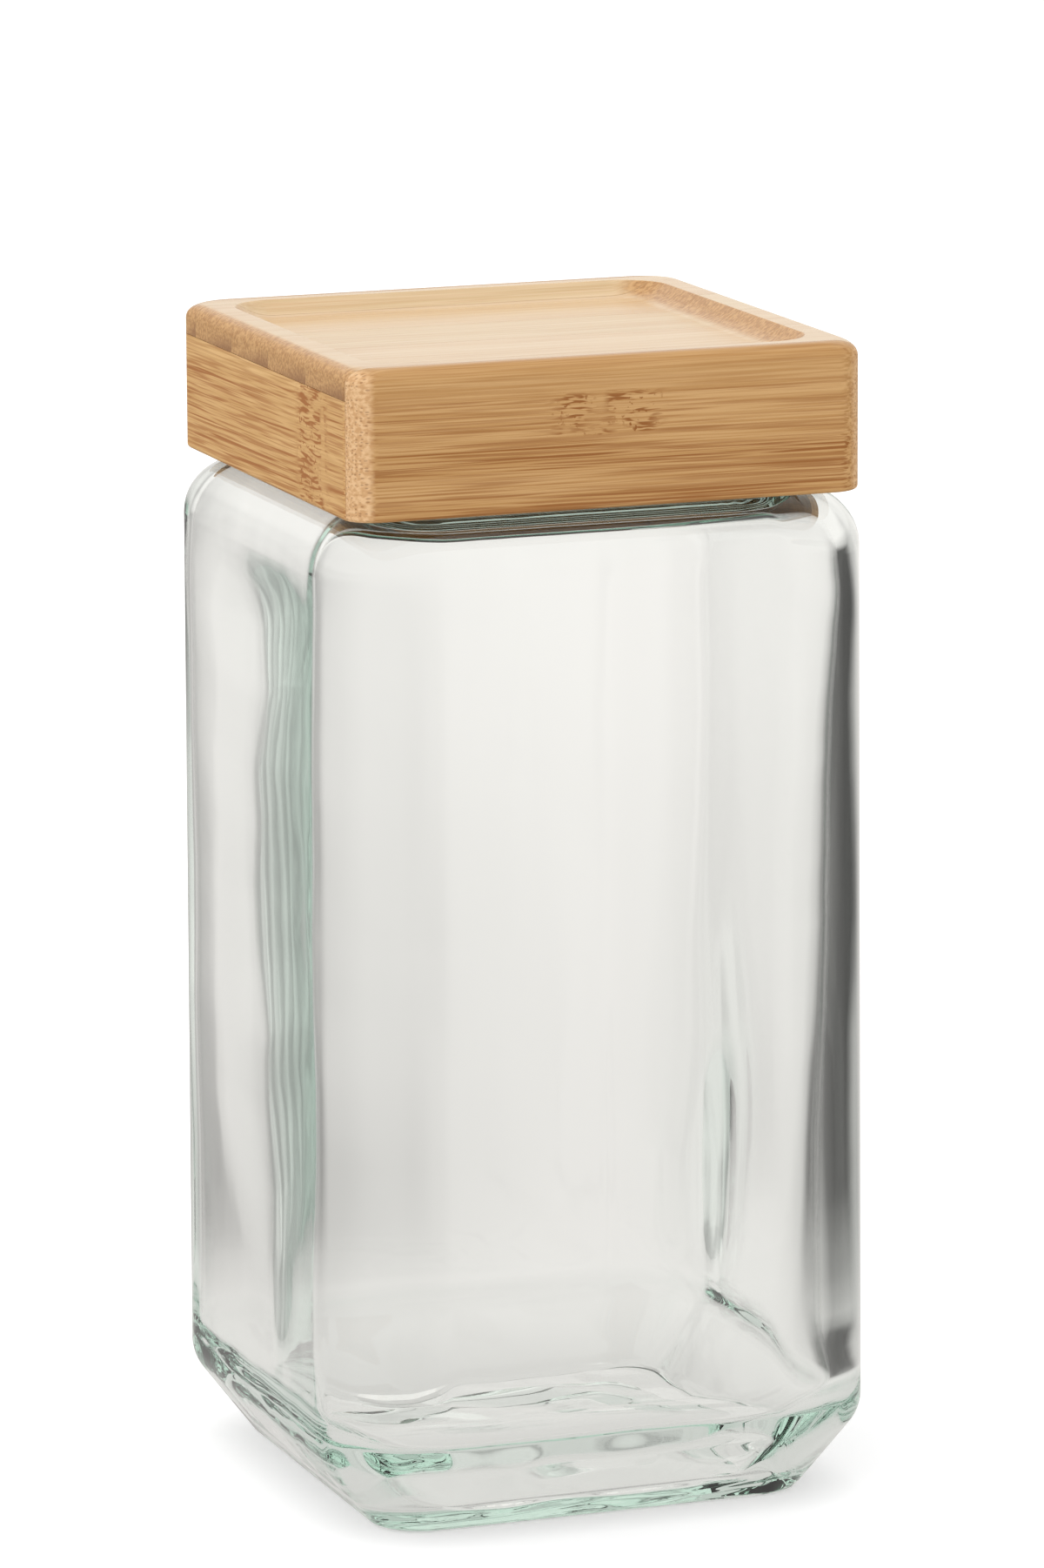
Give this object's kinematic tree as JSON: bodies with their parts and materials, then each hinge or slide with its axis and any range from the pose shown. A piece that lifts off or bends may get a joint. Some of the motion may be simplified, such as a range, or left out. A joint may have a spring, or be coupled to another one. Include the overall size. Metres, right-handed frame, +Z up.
{
  "type": "storage jar",
  "caption": "Square clear glass storage jar with a narrower sloping base and a lift-off bamboo lid, plugged and sealed in the mouth.",
  "frame": {"origin": "centre of the base, on the surface that the jar stands on", "axes": "+Z up the jar, -Y out of the lid's front rail, +X along the front and rear rails"},
  "size_m": [0.112, 0.112, 0.2278],
  "materials": {
    "glass": "clear with a faint green tint, fire polished",
    "bamboo": "laminated bamboo, satin lacquer",
    "silicone": "translucent silicone"
  },
  "bodies": {
    "jar": {"glass_jar": "glass"},
    "lid": {"front_rail": "bamboo", "rear_rail": "bamboo", "left_rail": "bamboo", "right_rail": "bamboo", "panel_strip_1": "bamboo", "panel_strip_2": "bamboo", "panel_strip_3": "bamboo", "panel_strip_4": "bamboo", "panel_strip_5": "bamboo", "plug_board": "bamboo", "silicone_seal": "silicone"}
  },
  "joints": [
    {"name": "lid_lift", "type": "slide", "parent": "jar", "child": "lid", "axis": [0, 0, 1], "range_m": [0, 0.06]}
  ]
}
